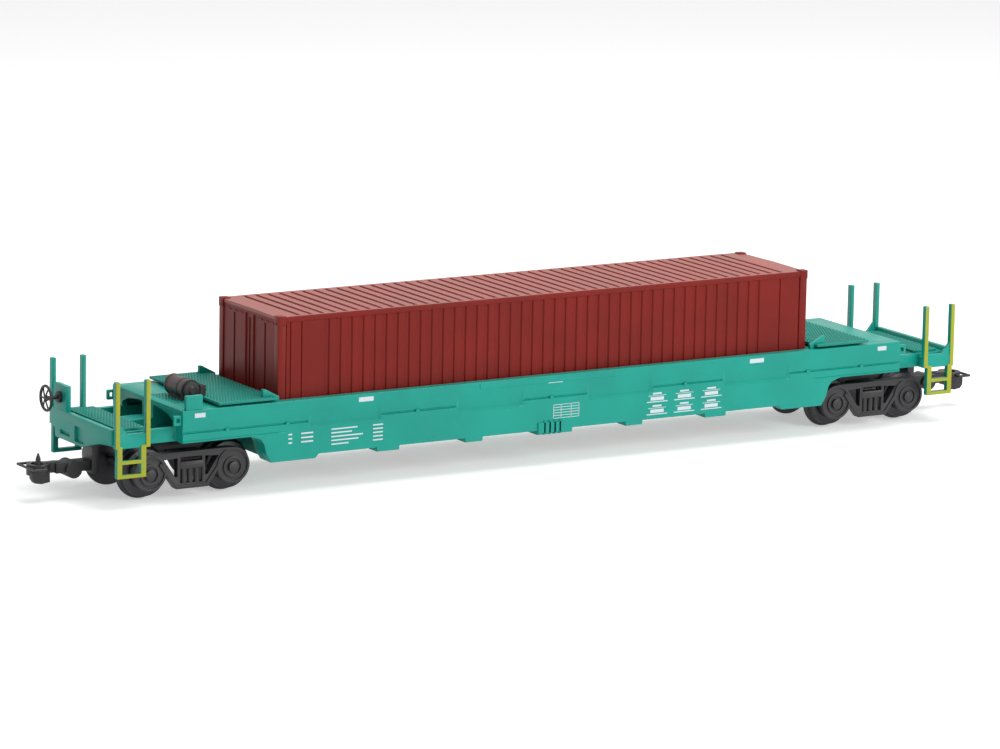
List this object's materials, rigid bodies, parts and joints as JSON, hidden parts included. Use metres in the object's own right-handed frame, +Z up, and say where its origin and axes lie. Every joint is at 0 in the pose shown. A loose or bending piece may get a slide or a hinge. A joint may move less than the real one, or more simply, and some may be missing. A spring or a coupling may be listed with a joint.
{
  "type": "scale model well wagon with container",
  "caption": "HO scale model of a railway well wagon: deep side sills around a lift-out container, studded end decks, corner ladders and swivelling two-axle bogies with hook-and-loop couplers.",
  "frame": {"origin": "middle of the wagon, at the bottom of the wheel flanges", "axes": "+X along the wagon towards the end without the handwheel, +Y to its rear side, +Z up"},
  "size_m": [0.2496, 0.0338, 0.0389],
  "materials": {
    "teal_plastic": "satin",
    "deck_plastic": "studded matt",
    "black_plastic": "matt",
    "black_wire": "blackened wire",
    "brown_plastic": "satin",
    "container_red": "satin",
    "container_roof": "satin",
    "bogie_plastic": "matt",
    "steel": "turned",
    "wheel_steel": "blackened and turned"
  },
  "bodies": {
    "wagon": {"side_sill_front": "teal_plastic", "side_sill_rear": "teal_plastic", "well_frame": "teal_plastic", "well_end_left": "teal_plastic", "well_end_right": "teal_plastic", "arch_plates": "teal_plastic", "platform_left": "teal_plastic", "platform_right": "teal_plastic", "end_beam_left": "teal_plastic", "end_beam_right": "teal_plastic", "top_plate_left": "teal_plastic", "top_plate_right": "teal_plastic", "ladder_left_front": "teal_plastic", "ladder_left_rear": "teal_plastic", "ladder_right_front": "teal_plastic", "ladder_right_rear": "teal_plastic", "container_guides": "teal_plastic", "sill_brackets": "teal_plastic", "brake_bracket": "teal_plastic", "handwheel_stand": "teal_plastic", "deck_left": "deck_plastic", "deck_right": "deck_plastic", "walkway_left": "deck_plastic", "walkway_right": "deck_plastic", "handwheel": "black_plastic", "brake_cylinder": "brown_plastic"},
    "container": {"container_floor": "container_red", "container_side_front": "container_red", "container_side_rear": "container_red", "container_front_wall": "container_red", "container_doors": "container_red", "container_roof": "container_roof", "container_posts": "container_red", "corner_castings": "container_red"},
    "bogie_left": {"bogie_frame_left": "bogie_plastic", "bogie_pin_left": "steel", "coupler_left": "black_plastic", "coupler_loop_left": "black_wire"},
    "bogie_right": {"bogie_frame_right": "bogie_plastic", "bogie_pin_right": "steel", "coupler_right": "black_plastic", "coupler_loop_right": "black_wire"},
    "wheelset_1": {"wheels_1": "wheel_steel", "axle_1": "steel"},
    "wheelset_2": {"wheels_2": "wheel_steel", "axle_2": "steel"},
    "wheelset_3": {"wheels_3": "wheel_steel", "axle_3": "steel"},
    "wheelset_4": {"wheels_4": "wheel_steel", "axle_4": "steel"}
  },
  "joints": [
    {"name": "container_lift", "type": "slide", "parent": "wagon", "child": "container", "axis": [0, 0, 1], "range_m": [0, 0.03]},
    {"name": "bogie_left_swing", "type": "hinge", "parent": "wagon", "child": "bogie_left", "pos_m": [-0.09045, 0, 0.01], "axis": [0, 0, 1], "range_deg": [-12, 12]},
    {"name": "bogie_right_swing", "type": "hinge", "parent": "wagon", "child": "bogie_right", "pos_m": [0.09045, 0, 0.01], "axis": [0, 0, 1], "range_deg": [-12, 12]},
    {"name": "wheelset_1_roll", "type": "hinge", "parent": "bogie_left", "child": "wheelset_1", "pos_m": [-0.1007, 0, 0.00605], "axis": [0, 1, 0], "continuous": true},
    {"name": "wheelset_2_roll", "type": "hinge", "parent": "bogie_left", "child": "wheelset_2", "pos_m": [-0.0802, 0, 0.00605], "axis": [0, 1, 0], "continuous": true},
    {"name": "wheelset_3_roll", "type": "hinge", "parent": "bogie_right", "child": "wheelset_3", "pos_m": [0.0802, 0, 0.00605], "axis": [0, 1, 0], "continuous": true},
    {"name": "wheelset_4_roll", "type": "hinge", "parent": "bogie_right", "child": "wheelset_4", "pos_m": [0.1007, 0, 0.00605], "axis": [0, 1, 0], "continuous": true}
  ]
}
